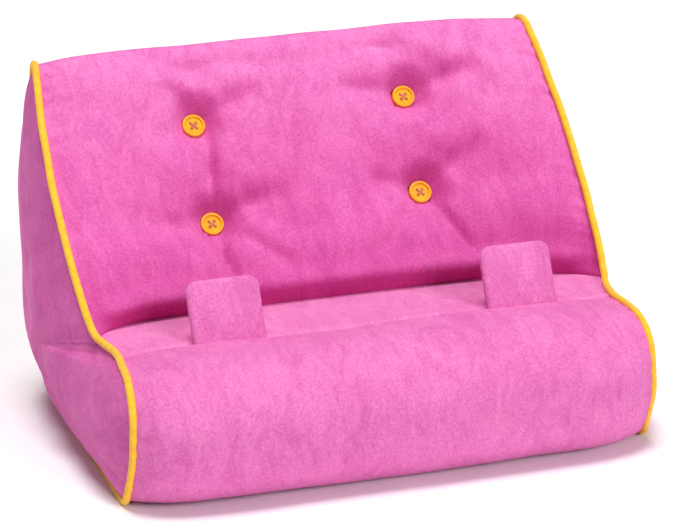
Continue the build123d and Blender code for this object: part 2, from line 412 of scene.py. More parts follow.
STUFFING_FADE = 13.0  # the crease is drawn in less this near to the side seams
CREASE_DRAW = 6.0  # how far the crease is drawn back under the foot of the backrest
CREASE_INWARD = np.array([0, 0.96, -0.28])
LEDGE_SEAM_DRAW = 1.0

SETTLED_SMOOTHING = 3
CAP = 5.0  # how far the stuffing may move the cover, away from the buttons and the crease
BUTTON_PULL = 14.0  # how much further it may move near a button
BUTTON_PULL_REACH = 26.0
CREASE_PULL_REACH = 14.0
SMOOTH_PANELS = 0.15  # share of the simulated movement that the bolster and the back keep
SMOOTH_PANELS_BLEND = 8
LEDGE_SMOOTHING = 40
FOOT_REACH = 9.0  # how far up the backrest the movement is evened out with the ledge's


def settle(name, rest, faces, held, drawn):
    """Cloth under pressure from the stuffing: held points move to drawn as the thread tightens."""
    scene = bpy.context.scene
    cloth_object = mesh_object(name, rest, faces)
    sewn = cloth_object.vertex_groups.new(name="sewn")
    sewn.add([int(i) for i in np.flatnonzero(held)], 1.0, "REPLACE")
    cloth_object.shape_key_add(name="rest")
    key = cloth_object.shape_key_add(name="drawn")
    key.data.foreach_set("co", (drawn * MM).ravel())
    for at, value in ((1, 0.0), (DRAWN_BY, 1.0)):
        key.value = value
        key.keyframe_insert("value", frame=at)
    cloth = cloth_object.modifiers.new("cloth", "CLOTH")
    settings = cloth.settings
    settings.quality = 6
    settings.mass = 0.3
    settings.tension_stiffness = settings.compression_stiffness = 15
    settings.shear_stiffness = 6
    settings.bending_stiffness = 0.4
    settings.vertex_group_mass = "sewn"
    settings.use_pressure = True
    settings.uniform_pressure_force = PRESSURE
    settings.shrink_min = -SLACK
    settings.effector_weights.gravity = 0
    cloth.collision_settings.use_collision = False
    for at in range(1, SETTLED_BY + 1):
        scene.frame_set(at)
    found = cloth_object.evaluated_get(bpy.context.evaluated_depsgraph_get()).to_mesh()
    settled = np.zeros(len(rest) * 3)
    found.vertices.foreach_get("co", settled)
    bpy.data.meshes.remove(cloth_object.data)
    scene.frame_set(1)
    return settled.reshape(-1, 3) / MM


def puffed(cover, seats):
    """The cover's surface with its backrest standing out between the buttons."""
    share = np.minimum(1, cover.from_edge / PUFF_EDGE)
    puff = PUFF * np.sin(share * np.pi / 2)
    puff *= 1 - DIMPLE_SHARE * hill(nearest_button(cover.grid, seats), DIMPLE)
    puff[: cover.starts["backrest"]] = 0
    puff[cover.starts["back"] :] = 0
    puff = smooth_ring(puff, PUFF_SMOOTHING * FINE)
    return cover.grid + puff[..., None] * BACKREST_NORMAL


def coarse_cover(cover, grid):
    """The points that the simulation moves, and where they lie on the cover."""
    points = grid[::FINE, ::FINE]
    first = {name: start // FINE for name, start in cover.starts.items()}
    backrest = np.zeros(points.shape[:2], bool)
    backrest[first["backrest"] : first["back"]] = True
    return SimpleNamespace(
        grid=points,
        first=first,
        backrest=backrest,
        inside=np.minimum(1, cover.from_edge[::FINE, ::FINE] / STUFFING_FADE),
        crease_gap=seam_distance(cover, "backrest")[::FINE, None],
        above=above_crease(cover)[::FINE],
    )


def held_points(coarse, seats):
    """Which points seams and thread hold, and all points once those are drawn in."""
    first, inside = coarse.first, coarse.inside
    drawn = coarse.grid.copy()
    held = np.zeros(drawn.shape[:2], bool)
    held[:, [0, -1]] = True
    held[: first["bolster"] + 1] = True
    held[[first["ledge"], first["backrest"]]] = True
    for seat in seats.values():
        radius, height = from_button(coarse.grid, seat)
        here = coarse.backrest & (radius < SEWN_REACH)
        held |= here
        drawn[here] -= height[here][:, None] * BACKREST_NORMAL
    drawn[first["backrest"]] += CREASE_DRAW * inside[first["backrest"]][:, None] * CREASE_INWARD
    drawn[first["ledge"], :, 2] -= LEDGE_SEAM_DRAW * inside[first["ledge"]]
    return held, drawn


def simulated_movement(coarse, seats):
    """How far the stuffing and the thread move each point, by cloth simulation."""
    grid = coarse.grid
    rows, columns = grid.shape[:2]
    faces = quads(np.arange(rows * columns).reshape(rows, columns), True)
    held, drawn = held_points(coarse, seats)
    settled = settle("stuffing", grid.reshape(-1, 3), faces, held.ravel(), drawn.reshape(-1, 3))
    return settled.reshape(grid.shape) - grid


def limited(moved, coarse, seats):
    """The movement, smoothed a little, within its limits, and small on the bolster and the back."""
    for _ in range(SETTLED_SMOOTHING):
        moved[:, 1:-1] = (moved[:, :-2] + 2 * moved[:, 1:-1] + moved[:, 2:]) / 4
        moved = (np.roll(moved, 1, 0) + 2 * moved + np.roll(moved, -1, 0)) / 4
    button_gap = nearest_button(coarse.grid, seats)
    limit = CAP + BUTTON_PULL * hill(button_gap, BUTTON_PULL_REACH) * coarse.backrest
    limit = limit + CREASE_DRAW * hill(coarse.crease_gap, CREASE_PULL_REACH)
    size = np.linalg.norm(moved, axis=-1)
    moved *= np.minimum(1, limit / np.maximum(size, 1e-6))[..., None]
    keep = np.full(len(moved), SMOOTH_PANELS)
    keep[coarse.first["ledge"] + 1 : coarse.first["back"] - 3] = 1
    return moved * smooth_ring(keep, SMOOTH_PANELS_BLEND)[:, None, None]


def evened(moved, coarse):
    """The movement, evened out from side to side on the ledge and the foot of the backrest."""
    first = coarse.first
    weight = np.zeros(len(moved))
    weight[first["ledge"] : first["backrest"] + 1] = 1
    weight[first["backrest"] :] = hill(coarse.above[first["backrest"] :], FOOT_REACH)
    for _ in range(LEDGE_SMOOTHING):
        beside = (moved[:, :-2] + moved[:, 2:]) / 2
        moved[:, 1:-1] += 0.5 * weight[:, None, None] * (beside - moved[:, 1:-1])
    return moved


def stuffed(cover, seats):
    """The cover's surface once the stuffing has filled it and the buttons are drawn in."""
    grid = puffed(cover, seats)
    coarse = coarse_cover(cover, grid)
    moved = simulated_movement(coarse, seats)
    return grid + finer_grid(evened(limited(moved, coarse, seats), coarse))


# ---- seams, puckers, button hollows and folds of the cover ----

GROOVES = {"ledge": (2.4, 1.3), "back": (0.8, 2.0), "bolster": (0.6, 2.0), "base": (0.6, 2.0)}
GROOVE_FADE = 5.0
CREASE_GROOVE = (0.8, 2.0)
CREASE_FADE = 14.0
ROLL = 3.5  # how far the foot of the backrest bulges over the crease
ROLL_HEIGHT = 8.0
ROLL_REACH = 6.0

# height and size of puckers and lumps
PUCKERS = (0.4, 4.5)
SIDE_PUCKERS = (0.2, 4.5)
LUMPS = (0.3, 34)
SIDE_LUMPS = (0.5, 22)
PUCKER_REACH = 7.0
PUCKER_START = 1.5
LUMP_FADE = 12.0
SIDE_LUMP_FADE = 20.0
FLOOR_BLEND = 4

COLLAR = 3.0  # how far the stuffing stands up round each button
COLLAR_AT = 24.0
COLLAR_WIDTH = 12.0
DIMPLE_DEPTH = 11.5  # the hollow is at least as steep as a funnel of this depth
DIMPLE_SLOPE = 5.5  # the smaller, the steeper
DIMPLE_END = 25.0
DIMPLE_BLEND = 8.0
SEAT_DEPTH = 0.1  # the cover lies this far behind a button's back

# soft folds in the backrest: (button, angle in its face from rightwards, from and to radius, depth, width)
FOLDS = [
    ("lower_left", 84, 5, 52, 3.4, 3.2),
    ("lower_left", 17, 4, 42, 3.6, 5.5),
    ("lower_left", 185, 6, 34, 1.8, 5.0),
    ("lower_left", -88, 6, 36, 3.0, 3.0),
    ("lower_left", -42, 12, 46, 2.6, 4.6),
    ("upper_left", 22, 4, 38, 3.2, 5.5),
    ("upper_left", 118, 4, 26, 2.0, 4.6),
    ("upper_left", 200, 6, 28, 1.5, 5.0),
    ("lower_right", 30, 4, 44, 3.6, 5.5),
    ("lower_right", 165, 6, 30, 1.8, 4.5),
    ("lower_right", -132, 7, 48, 3.2, 4.0),
    ("lower_right", -66, 7, 46, 3.4, 3.2),
    ("upper_right", 14, 4, 42, 3.4, 5.5),
    ("upper_right", 172, 4, 40, 2.8, 5.0),
]
FOLD_BLEND = 3.0


def seam_relief(cover):
    """How far the cover rises at its seams: grooves, and the roll of the backrest over the crease."""
    edge = cover.from_edge
    rise = np.zeros(edge.shape)
    for name, (depth, width) in GROOVES.items():
        rise -= depth * hill(seam_distance(cover, name)[:, None], width) * np.minimum(1, edge / GROOVE_FADE)
    inside = np.minimum(1, edge / CREASE_FADE)
    depth, reach = CREASE_GROOVE
    rise -= depth * np.exp(-seam_distance(cover, "backrest")[:, None] / reach) * inside
    above = above_crease(cover)
    roll = ROLL * hill(above - ROLL_HEIGHT, ROLL_REACH) * (above > 0)
    return rise + roll[:, None] * inside


def beside_seam(gap):
    """1 at its most just inside a side seam, falling to 0 at the seam and further in."""
    return np.exp(-gap / PUCKER_REACH) * (1 - np.exp(-gap / PUCKER_START))


def fabric_relief(cover, grid):
    """How far the cover rises in puckers along the piping and in soft lumps."""
    edge = cover.from_edge
    line = cover.distance[:, None, None] * np.ones(edge.shape)[..., None]
    puckers = waves(line, PUCKERS, 11) * beside_seam(edge)
    return puckers + waves(grid, LUMPS, 5) * np.minimum(1, edge / LUMP_FADE)


def off_ground(cover):
    """0 for the rows that rest on the floor, 1 for the others."""
    share = np.ones(cover.rows)
    share[: cover.starts["bolster"]] = 0
    return smooth_ring(share, FLOOR_BLEND * FINE)


def press_buttons(backrest, seats):
    """Draws the backrest in round each button, at least as steeply as the funnel."""
    for seat in seats.values():
        radius, height = from_button(backrest, seat)
        funnel = DIMPLE_DEPTH * (1 - np.exp(-np.maximum(radius - BUTTON_REACH, 0) / DIMPLE_SLOPE))
        wanted = np.where(radius < BUTTON_REACH, -SEAT_DEPTH, np.maximum(height, funnel))
        change = (wanted - height) * np.clip((DIMPLE_END - radius) / DIMPLE_BLEND, 0, 1)
        backrest += change[..., None] * BACKREST_NORMAL


def fold_depth(grid, seats):
    """How far the folds that run out from the buttons lie below the surface."""
    depth = np.zeros(grid.shape[:2])
    for button, angle, start, end, deep, width in FOLDS:
        gap = grid - seats[f"button_{button}"]
        right, up = gap[..., 0], gap @ BACKREST_UP
        c, s = math.cos(math.radians(angle)), math.sin(math.radians(angle))
        along = (right * c + up * s - start) / (end - start)
        aside = up * c - right * s
        taper = np.sin(np.pi * np.clip(along, 0, 1)) ** 0.8
        depth = depth + deep * taper * hill(aside, width)
    return depth


def finish_cover(cover, grid, seats):
    """The stuffed surface with its seams, puckers, lumps, button hollows and folds."""
    out = normals(grid, True, grid - grid.mean((0, 1)))
    rise = seam_relief(cover) + fabric_relief(cover, grid)
    rows = slice(cover.starts["backrest"], cover.starts["back"])
    for seat in seats.values():
        rise[rows] += COLLAR * hill(from_button(grid[rows], seat)[0] - COLLAR_AT, COLLAR_WIDTH)
    grid = grid + out * (rise * off_ground(cover)[:, None])[..., None]
    backrest = grid[rows]
    press_buttons(backrest, seats)
    clear = np.clip((nearest_button(backrest, seats) - BUTTON_REACH) / FOLD_BLEND, 0, 1)
    backrest -= (fold_depth(backrest, seats) * clear)[..., None] * BACKREST_NORMAL
    grid[:, :, 2] = np.maximum(grid[:, :, 2], 0)
    return grid


# ---- side panels ----

COVER = 1.2  # thickness of the cover's fabric
SIDE_CENTRE = (133.0, 25.0, 50.0)
SIDE_CROWDING = 0.1
DOME = 14.0
DOME_REACH = 45.0
DOME_SMOOTHING = 30
BULGE_FADE = 6.0  # the bulges below start this near to the seam
FLOOR_BULGE = 5.0  # how much further the side panels bulge just above the floor
FLOOR_BULGE_HEIGHT = 9.0
FLOOR_BULGE_FRONT = (-60, 20)  # where it starts and where it is full
FLOOR_BULGE_REAR = (95, 45)
REAR_BULGE = 2.2  # how much further they bulge along the back
REAR_BULGE_AT = 88
REAR_BULGE_WIDTH = 14
REAR_BULGE_RISE = (40, 80)


def between(values, zero, one):
    """0 up to the first limit, 1 past the second, and even in between."""
    return np.clip((values - zero) / (one - zero), 0, 1)


def side_bulge(flat, gap):
    """How far a side panel stands out, without its puckers and lumps."""
    y, z = flat[..., 1], flat[..., 2]
    height = DOME * (1 - (1 - np.minimum(gap / DOME_REACH, 1)) ** 2)
    low = hill(z - FLOOR_BULGE_HEIGHT, FLOOR_BULGE_HEIGHT)
    low *= between(y, *FLOOR_BULGE_FRONT) * between(y, *FLOOR_BULGE_REAR)
    rear = hill(y - REAR_BULGE_AT, REAR_BULGE_WIDTH) * between(z, *REAR_BULGE_RISE)
    height += (FLOOR_BULGE * low + REAR_BULGE * rear) * np.minimum(gap / BULGE_FADE, 1)
    for _ in range(DOME_SMOOTHING):
        around = height[:-2, 1:-1] + height[2:, 1:-1] + height[1:-1, :-2] + height[1:-1, 2:]
        height[1:-1, 1:-1] = around / 4
    return height


def side_surface(cover, grid, side):
    """One side panel's outer surface, as a square grid whose rim is the cover's edge."""
    rows = cover.rows
    edge = grid[:, 0 if side < 0 else -1]
    ring, place = square_rings(rows // 8)
    where = place * rows
    closed = np.vstack([edge, edge[:1]])
    seam = np.stack([np.interp(where, np.arange(rows + 1), closed[:, k]) for k in range(3)], axis=-1)
    share = ring + SIDE_CROWDING * np.sin(np.pi * ring)
    centre = np.array(SIDE_CENTRE) * [side, 1, 1]
    flat = centre + share[..., None] * (seam - centre)
    gap = np.linalg.norm(flat[..., None, 1:] - edge[:, 1:], axis=-1).min(-1)
    height = side_bulge(flat, gap)
    along = cover.distance[np.minimum(where, rows - 1).astype(int)]
    height += waves(along[..., None], SIDE_PUCKERS, 21 + side) * beside_seam(gap)
    height += waves(flat, SIDE_LUMPS, 9 + side) * np.minimum(1, gap / SIDE_LUMP_FADE)
    flat[..., 0] += side * height
    return flat


def make_side(cover, grid, side, look):
    """One side panel as a closed piece of fabric; returns its outer surface."""
    outer = side_surface(cover, grid, side)
    out = normals(outer, False, side * RIGHT)
    name = side_name(side)
    shape = shell(outer, outer - out * COVER)
    made = piece(f"cover_side_{name}", shape, "cushion", look["side"])
    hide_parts(f"side_panel_{name}")
    return outer


def make_cover(cover, grid, look):
    """Each panel of the wrap as its own closed piece of fabric."""
    out = normals(grid, True, grid - grid.mean((0, 1)))
    inner = grid - out * COVER
    starts = cover.starts
    ends = [*list(starts.values())[1:], cover.rows]
    for (name, start), end in zip(starts.items(), ends):
        rows = np.arange(start, end + 1) % cover.rows
        cloth = look.get(name, look["cover"])
        made = piece(f"cover_{name}", shell(grid[rows], inner[rows]), "cushion", cloth)
        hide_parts(f"{name}_panel")


# ---- piping ----

PIPING_RADIUS = 1.85
PIPING_SIDES = 20
CORD_RADIUS = 1.0
CORD_SIDES = 12
CORD_CLEARANCE = 0.05
# how far the piping strays outwards and sideways, and thickens, and over what length
STRAY_OUT = (0.06, 14)
STRAY_SIDEWAYS = (0.08, 18)
THICKENING = (0.012, 2.5)


def tube(line, out, radii, around):
    """Points and faces of a closed ring of tube; radii are one for each point of its line."""
    angles = np.arange(around) * 2 * np.pi / around
    offset = np.cos(angles)[None, :, None] * out[:, None] + np.sin(angles)[None, :, None] * RIGHT
    grid = line[:, None] + radii[:, None, None] * offset
    index = np.arange(grid.shape[0] * around).reshape(-1, around)
    index = np.hstack([index, index[:, :1]])
    return grid.reshape(-1, 3), quads(index, True)


def make_piping(cover, side, look):
    """The folded tape round one side seam, hollow, and the cord inside it."""
    name = side_name(side)
    distance = cover.distance[:, None]
    out = np.column_stack([np.zeros(len(distance)), cover.out])
    line = cover.piping * [side, 1, 1]
    line = line + out * waves(distance, STRAY_OUT, 31 + side)[:, None]
    line[:, 0] += waves(distance, STRAY_SIDEWAYS, 41 + side)
    thickness = 1 + waves(distance, THICKENING, 51 + side)
    same = np.ones(len(line))
    outer, faces = tube(line, out, PIPING_RADIUS * thickness, PIPING_SIDES)
    inner, _ = tube(line, out, (CORD_RADIUS + CORD_CLEARANCE) * same, PIPING_SIDES)
    points = np.vstack([outer, inner])
    faces = right_way_out(points, np.vstack([faces, faces[:, ::-1] + len(outer)]))
    tape = piece(f"cover_piping_{name}", (points, faces), "cushion", look["piping"])
    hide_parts(f"piping_tape_{name}")
    core = tube(line, out, CORD_RADIUS * same, CORD_SIDES)
    cord = piece(f"core_piping_{name}", core, "cushion", look["core"])
    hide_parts(f"piping_cord_{name}")


# ---- liner, filling and wadding ----

# depths below the shown surface
LINER_OUTSIDE = 2.2
LINER_INSIDE = 2.7
FILL = 2.9
RIM_INSET = 3.2  # how much deeper the inner layers lie at the side seams and the crease
RIM_REACH = 8.0
CORNER_DRAW = 5.0  # how much further they are drawn in where the crease meets the side seams
CORNER_REACH = 10.0
CORNER_INWARD = np.array([-0.6, 0.45, -0.66])  # on the right side

WADDING = 20.0
WADDING_ROWS = (0.05, 0.82)  # share of the backrest panel
WADDING_SPAN = 0.92  # share of the half width
WADDING_GAP = 0.2


def closed_surface(cover, grid, sides):
    """The shown surface as one closed coarse mesh, and the point numbers of its wrap and sides."""
    coarse = grid[::FINE, ::FINE]
    rows, columns = coarse.shape[:2]
    total = rows * columns
    wrap = np.arange(total).reshape(rows, columns)
    points, faces, panels = [coarse.reshape(-1, 3)], [quads(wrap, True)], {}
    for side, outer in sides.items():
        panel = outer[::FINE, ::FINE]
        ring, place = square_rings((len(panel) - 1) // 2)
        index = np.zeros(panel.shape[:2], int)
        rim = ring == 1
        index[rim] = wrap[np.round(place[rim] * rows).astype(int) % rows, 0 if side < 0 else -1]
        index[~rim] = total + np.arange((~rim).sum())
        total += (~rim).sum()
        points.append(panel[~rim])
        faces.append(quads(index, False))
        panels[side] = index
    points = np.vstack(points)
    faces = np.vstack([outward(points, part) for part in faces])
    return points, faces, wrap, panels


def inner_layers(points, faces, wrap, crease):
    """The points of the liner's outside, its inside and the filling; crease is a row of the wrap."""
    out = np.zeros_like(points)
    areas = face_areas(points, faces)
    for k in range(4):
        np.add.at(out, faces[:, k], areas)
    out /= np.linalg.norm(out, axis=1)[:, None]
    rim = np.append(wrap[:, [0, -1]], wrap[crease])
    gap = np.array([np.linalg.norm(points[rim] - point, axis=1).min() for point in points])
    deeper = (RIM_INSET * np.exp(-gap / RIM_REACH))[:, None]
    drawn = np.zeros_like(points)
    for side, column in ((-1, 0), (1, -1)):
        corner = points[wrap[crease, column]]
        near = hill(np.linalg.norm(points - corner, axis=1), CORNER_REACH)
        drawn += near[:, None] * CORNER_DRAW * CORNER_INWARD * [side, 1, 1]
    return [points + drawn - out * (depth + deeper) for depth in (LINER_OUTSIDE, LINER_INSIDE, FILL)]


def make_liner(name, node, shape, look):
    """One part of the liner bag."""
    made = piece(f"liner_bag_{name}", shape, "cushion", look["liner"])
    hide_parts(node)


def make_filling(fill, faces, wrap, crease, look):
    """The wadding that the buttons are drawn into, and the filling round it."""
    low, high = (crease + int(round(share * PANELS["backrest"][2])) for share in WADDING_ROWS)
    columns = wrap.shape[1]
    near = int(round((1 - WADDING_SPAN) * columns / 2))
    block = wrap[low : high + 1, near : columns - near]
    top = fill[block]
    pad = shell(top, top - BACKREST_NORMAL * WADDING)
    made = piece("wadding_pad", pad, "cushion", look["wadding"])
    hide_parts("backrest_wadding")
    fill[block] -= BACKREST_NORMAL * (WADDING + WADDING_GAP)
    made = piece("filling", (fill, faces), "cushion", look["fill"], sharp=80)
    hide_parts("bead_filling")


def make_inside(cover, grid, sides, look):
    """The liner bag, the filling and the wadding, inset from the shown surface."""
    points, faces, wrap, panels = closed_surface(cover, grid, sides)
    crease = cover.starts["backrest"] // FINE
    outside, inside, fill = inner_layers(points, faces, wrap, crease)
    make_liner("wrap", "liner_wrap", shell(outside[wrap], inside[wrap], ring=True), look)
    for side, index in panels.items():
        name = side_name(side)
        make_liner(name, f"liner_side_{name}", shell(outside[index], inside[index]), look)
    make_filling(fill, faces, wrap, crease, look)


# ---- tabs ----

TAB_LEAN = math.radians(26)
TAB_HALF_WIDTH = 18.0
TAB_LOW = -5.0  # from the hinge
TAB_HIGH = 27.5
TAB_CORNER = 5.5
TAB_FOOT_CORNER = 1.5
TAB_STEPS = 22
TAB_CROWDING = 0.16
TAB_TRACE_STEP = 0.3
TAB_EDGE = 0.15  # half the thickness at the edge seam
TAB_BODY = 2.0  # how much further each cover stands out inside the rounded edge
TAB_ROUNDING = 2.6
TAB_CROWN = 0.3
TAB_CROWN_REACH = 12.0
TAB_LUMPS = (0.25, 9)
TAB_SEEDS = {"left": 61, "right": 62}
BOARD_ROOM = 0.95  # half the hollow that holds the stiffener
BOARD_EDGE = (1.0, 2.2)  # where the hollow starts and is full, from the edge

HEM_HALF_WIDTH = 17.0
HEM_DEPTH = 8.0
HEM_RISE = 3.0
HEM_HALF_THICKNESS = 0.4
HEM_STEPS = (22, 24)


def tab_grid():
    """Places across and up a tab's face with rounded corners, and their distance from its edge."""
    half, tall = TAB_HALF_WIDTH, (TAB_HIGH - TAB_LOW) / 2
    foot, head = TAB_FOOT_CORNER, TAB_CORNER
    outline = rounded([(half, -tall, foot), (half, tall, head), (-half, tall, head), (-half, -tall, foot)])
    angle = np.arctan2(outline[:, 1] / tall, outline[:, 0] / half)
    order = np.argsort(angle)
    ring, _ = square_rings(TAB_STEPS)
    even = np.linspace(-1, 1, 2 * TAB_STEPS + 1)
    x, y = np.meshgrid(even, even, indexing="ij")
    way = np.arctan2(y, x)
    rim = np.stack([np.interp(way, angle[order], outline[order, k], period=2 * np.pi) for k in (0, 1)], -1)
    flat = (ring + TAB_CROWDING * np.sin(np.pi * ring))[..., None] * rim
    trace = at_length(outline, np.arange(0, lengths(outline)[-1], TAB_TRACE_STEP))
    gap = np.linalg.norm(flat[..., None, :] - trace, axis=-1).min(-1)
    return flat + [0, (TAB_LOW + TAB_HIGH) / 2], gap


def tab_covers(name, hinge, up, front):
    """The closed shells of a tab's front and back cover, with a hollow for the board between them."""
    flat, gap = tab_grid()
    place = hinge + flat[..., :1] * RIGHT + flat[..., 1:] * up
    soft = waves(place, TAB_LUMPS, TAB_SEEDS[name])
    edge = np.minimum(gap / TAB_ROUNDING, 1)
    high = TAB_EDGE + TAB_BODY * np.sqrt(1 - (1 - edge) ** 2)
    high += (TAB_CROWN + soft) * np.minimum(gap / TAB_CROWN_REACH, 1)
    low = BOARD_ROOM * between(gap, *BOARD_EDGE)
    return {
        half: shell(place + facing * high[..., None] * front, place + facing * low[..., None] * front)
        for facing, half in ((1, "front"), (-1, "back"))
    }


def tab_hem(hinge, up, front):
    """The closed shell of the strip that runs from inside a tab down into the seam."""
    drop = np.linspace(-HEM_DEPTH, HEM_RISE, HEM_STEPS[0] + 1)[:, None, None]
    across = np.linspace(-HEM_HALF_WIDTH, HEM_HALF_WIDTH, HEM_STEPS[1] + 1)[None, :, None]
    sheet = hinge + across * RIGHT + drop * up
    return shell(sheet + HEM_HALF_THICKNESS * front, sheet - HEM_HALF_THICKNESS * front)


def make_tab(joint, look):
    """One tab: a front and a back cover that meet in an edge seam, and the hem sewn into the cushion."""
    body = joint["child"]
    name = body.replace("flap_", "")
    hinge = np.array(joint["pos_m"]) / MM
    up = np.array([0, math.sin(TAB_LEAN), math.cos(TAB_LEAN)])
    front = np.array([0, -math.cos(TAB_LEAN), math.sin(TAB_LEAN)])
    for half, shape in tab_covers(name, hinge, up, front).items():
        made = piece(f"tab_{name}_{half}", shape, None, look["cover"])
        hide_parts(f"flap_{name}_{half}_cover")
        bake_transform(made)
    hem = piece(f"tab_{name}_hem", tab_hem(hinge, up, front), None, look["cover"])
    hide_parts(f"flap_{name}_hem")
    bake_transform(hem)


# ---- materials ----

# tints are (share, colour); painted shade: the backrest is painted darker towards its foot, standing in for
# the crease's shade
CREASE_PAINTED_SHADE = [
    (0.0, (0.74, 0.36, 0.6, 1)),
    (0.14, (0.8, 0.46, 0.68, 1)),
    (0.32, (0.89, 0.65, 0.81, 1)),
    (0.55, (0.92, 0.73, 0.85, 1)),
    (0.85, (0.98, 0.94, 0.97, 1)),
    (1.0, (1, 1, 1, 1)),
]
# painted shade: the backrest is also painted darker in the hollows and folds that turn away from this
# direction, as if light came from it
PAINTED_LIGHT_FROM = (0.5, -0.15, 0.85)
FACING_PAINTED_SHADE = [
    (0.20, (0.80, 0.44, 0.66, 1)),
    (0.50, (0.90, 0.68, 0.82, 1)),
    (0.68, (0.98, 0.94, 0.97, 1)),
    (0.80, (1, 1, 1, 1)),
]
# painted shade: the side panels are painted darker towards the top, where less light reaches them than near
# the floor
SIDE_PAINTED_SHADE = [(0.0, (1, 1, 1, 1)), (0.45, (0.9, 0.83, 0.88, 1)), (1.0, (0.72, 0.66, 0.72, 1))]
# all the pile is marked where it has been brushed, and varies in larger patches
BRUSH_MARKS = [(0.36, (0.88, 0.72, 0.84, 1)), (0.6, (1, 1, 1, 1))]
PATCH_SHADES = [(0.35, (0.95, 0.87, 0.94, 1)), (0.6, (1, 1, 1, 1))]
BRUSHED_STRETCH = (1.5, 0.65, 0.65)
SHEEN_TINT = (255, 165, 220)
# painted shade by height ends at TOP; on the backrest it starts at FOOT
FOOT = 64  # height of the crease, where the backrest's tint starts
TOP = 178  # height of the cushion's top, where tints by height end


def srgb(red, green, blue):
    """Linear colour from 0-255 values."""
    values = [c / 255 for c in (red, green, blue)]
    linear = [c / 12.92 if c <= 0.04045 else ((c + 0.055) / 1.055) ** 2.4 for c in values]
    return (*linear, 1.0)


def connect(tree, node, sockets):
    """The node, with its input sockets set to values or linked to other nodes' outputs."""
    for name, value in sockets.items():
        if isinstance(value, bpy.types.NodeSocket):
            tree.links.new(value, node.inputs[name])
        else:
            node.inputs[name].default_value = value
    return node


def add(tree, kind, sockets):
    """A new shader node of that kind."""
    return connect(tree, tree.nodes.new(f"ShaderNode{kind}"), sockets)


def blank(name):
    """A new material: its node tree, its shader, and object coordinates."""
    made = bpy.data.materials.new(name)
    made.use_nodes = True
    tree = made.node_tree
    shader = next(n for n in tree.nodes if n.type == "BSDF_PRINCIPLED")
    return made, tree, shader, add(tree, "TexCoord", {}).outputs["Object"]


def noise(tree, place, size, detail, roughness, distortion=0.0):
    """A noise texture whose lumps are about that many millimetres across."""
    sockets = {"Vector": place, "Scale": 1 / (size * MM), "Detail": detail}
    sockets |= {"Roughness": roughness, "Distortion": distortion}
    return add(tree, "TexNoise", sockets).outputs["Fac"]


def ramp(tree, value, stops):
    """Colours along a value from 0 to 1."""
    node = add(tree, "ValToRGB", {"Fac": value})
    elements = node.color_ramp.elements
    while len(elements) < len(stops):
        elements.new(0.5)
    for element, (at, colour) in zip(elements, stops):
        element.position = at
        element.color = colour
    return node.outputs["Color"]


def spotted(tree, value, deep, light, low=0.3, high=0.7):
    """A deep colour where the value is low, and a light one where it is high."""
    return ramp(tree, value, [(low, srgb(*deep)), (high, srgb(*light))])


def mix(tree, blend, amount, first, second):
    """Two colours blended."""
    node = tree.nodes.new("ShaderNodeMix")
    node.data_type = "RGBA"
    node.blend_type = blend
    return connect(tree, node, {0: amount, 6: first, 7: second}).outputs[2]


def tinted(tree, colour, share, stops):
    """A colour multiplied by the tint at that share."""
    return mix(tree, "MULTIPLY", 1.0, colour, ramp(tree, share, stops))


def height_share(tree, place, low, high):
    """0 at the low height, 1 at the high one."""
    height = add(tree, "SeparateXYZ", {"Vector": place}).outputs["Z"]
    sockets = {"Value": height, "From Min": low * MM, "From Max": high * MM}
    return add(tree, "MapRange", sockets).outputs["Result"]


def facing_share(tree, towards):
    """1 where the surface faces towards, 0 where it lies square to it."""
    normal = add(tree, "TexCoord", {}).outputs["Normal"]
    node = add(tree, "VectorMath", {0: normal, 1: Vector(towards).normalized()})
    node.operation = "DOT_PRODUCT"
    return node.outputs["Value"]


def bump(tree, shader, heights):
    """Chained bumps: (height output, distance in millimetres, strength)."""
    normal = {}
    for height, distance, strength in heights:
        sockets = {"Height": height, "Distance": distance * MM, "Strength": strength}
        normal = {"Normal": add(tree, "Bump", sockets | normal).outputs["Normal"]}
    connect(tree, shader, normal)


def velour(name, deep, light, sheen, shade=None, low=0, facing_shade=None):
    """Short-pile fabric; its optional tints are painted shade, one by height from low to the top and one by
    the way it faces.
    """
    made, tree, shader, place = blank(name)
    mottle = noise(tree, place, size=1.1, detail=5, roughness=0.75, distortion=0.15)
    brushed = add(tree, "Mapping", {"Vector": place, "Scale": BRUSHED_STRETCH}).outputs["Vector"]
    brushed = noise(tree, brushed, size=14, detail=7, roughness=0.7, distortion=1.2)
    patches = noise(tree, place, size=45, detail=3, roughness=0.6, distortion=0.8)
    pile = noise(tree, place, size=0.5, detail=2, roughness=0.6)
    colour = spotted(tree, mottle, deep, light, low=0.34, high=0.66)
    colour = tinted(tree, colour, brushed, BRUSH_MARKS)
    colour = tinted(tree, colour, patches, PATCH_SHADES)
    # painted shade: darker by height, and on faces turned away from the light
    if shade:
        colour = tinted(tree, colour, height_share(tree, place, low, TOP), shade)
    if facing_shade:
        colour = tinted(tree, colour, facing_share(tree, PAINTED_LIGHT_FROM), facing_shade)
    connect(tree, shader, {"Base Color": colour, "Roughness": 0.95, "Specular IOR Level": 0.15})
    connect(tree, shader, {"Sheen Weight": sheen, "Sheen Roughness": 0.4, "Sheen Tint": srgb(*SHEEN_TINT)})
    bump(tree, shader, [(mottle, 0.2, 0.55), (pile, 0.1, 0.6)])
    return made


def rib(tree, place, direction, size):
    """Bands across one direction, as coarse as the yarn."""
    sockets = {"Vector": place, "Scale": 1 / (size * MM) / math.tau, "Distortion": 1.2, "Detail": 1.0}
    node = add(tree, "TexWave", sockets)
    node.wave_type = "BANDS"
    node.bands_direction = direction
    return node.outputs["Color"]


